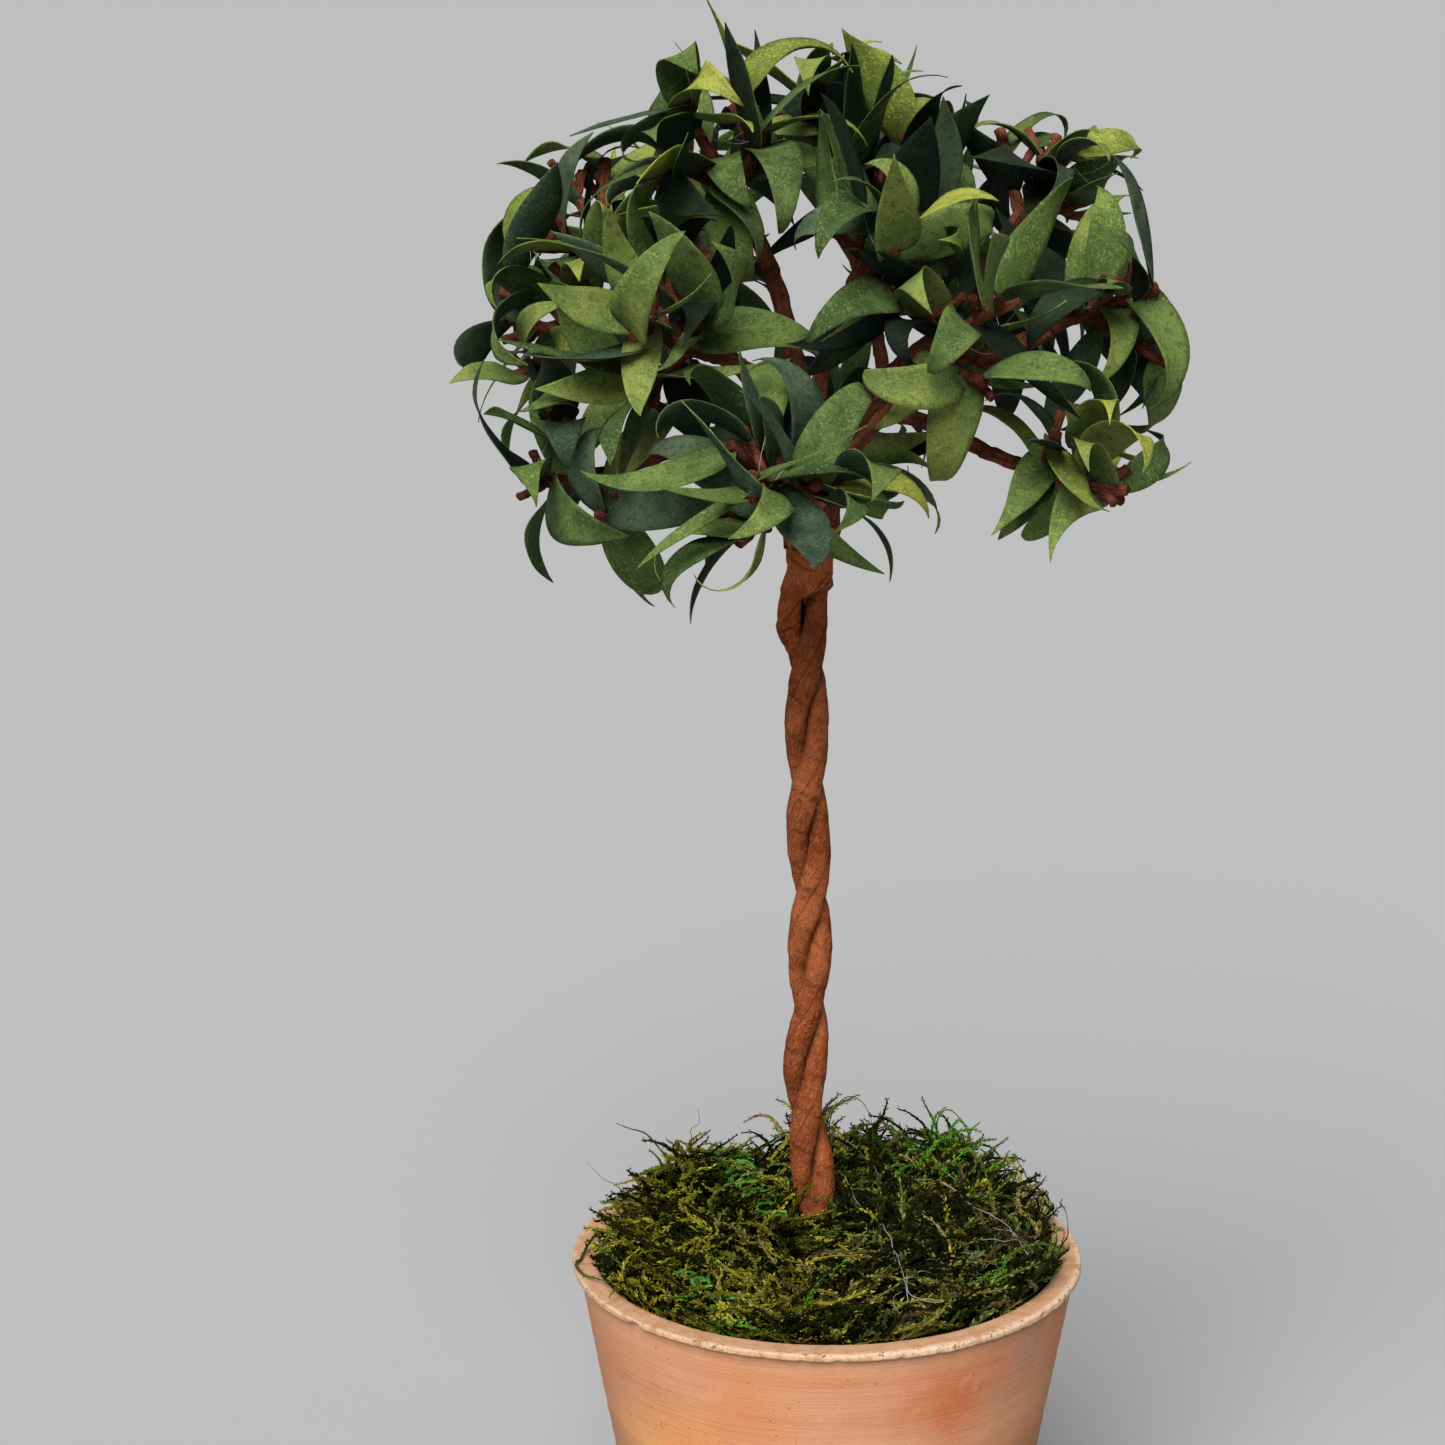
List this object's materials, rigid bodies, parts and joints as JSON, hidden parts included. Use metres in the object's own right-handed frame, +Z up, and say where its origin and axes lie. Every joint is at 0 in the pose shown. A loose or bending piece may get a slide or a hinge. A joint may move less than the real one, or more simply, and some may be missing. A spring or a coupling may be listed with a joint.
{
  "type": "artificial paper-leaf topiary in a terracotta pot",
  "caption": "Handmade topiary with a round paper-leaf crown on a twisted taped stem, standing in moss in a tapered terracotta pot with a thin lip.",
  "frame": {"origin": "centre of the pot's flat underside", "axes": "+Z up along the pot's axis, -Y towards the front"},
  "size_m": [0.1531, 0.1561, 0.3757],
  "materials": {
    "terracotta": "matte",
    "plaster": "matte",
    "moss": "matte",
    "taped_wire": "matte",
    "paper_leaf": "satin"
  },
  "bodies": {
    "root": {"pot": "terracotta", "filler": "plaster", "moss": "moss", "trunk_strand_a": "taped_wire", "trunk_strand_b": "taped_wire", "trunk_collar": "taped_wire", "bough_leader": "taped_wire", "bough_right": "taped_wire", "bough_back_right": "taped_wire", "bough_back_left": "taped_wire", "bough_left": "taped_wire", "bough_top_left": "taped_wire", "bough_front_right": "taped_wire", "bough_right_low": "taped_wire", "bough_right_high": "taped_wire", "bough_left_low": "taped_wire", "bough_left_high": "taped_wire", "bough_back_low": "taped_wire", "bough_back_high": "taped_wire", "bough_front_low": "taped_wire", "bough_front_left": "taped_wire", "bough_front_high": "taped_wire", "foliage_leader": "paper_leaf", "foliage_right": "paper_leaf", "foliage_back_right": "paper_leaf", "foliage_back_left": "paper_leaf", "foliage_left": "paper_leaf", "foliage_top_left": "paper_leaf", "foliage_front_right": "paper_leaf", "foliage_right_low": "paper_leaf", "foliage_right_high": "paper_leaf", "foliage_left_low": "paper_leaf", "foliage_left_high": "paper_leaf", "foliage_back_low": "paper_leaf", "foliage_back_high": "paper_leaf", "foliage_front_low": "paper_leaf", "foliage_front_left": "paper_leaf", "foliage_front_high": "paper_leaf"}
  },
  "joints": []
}
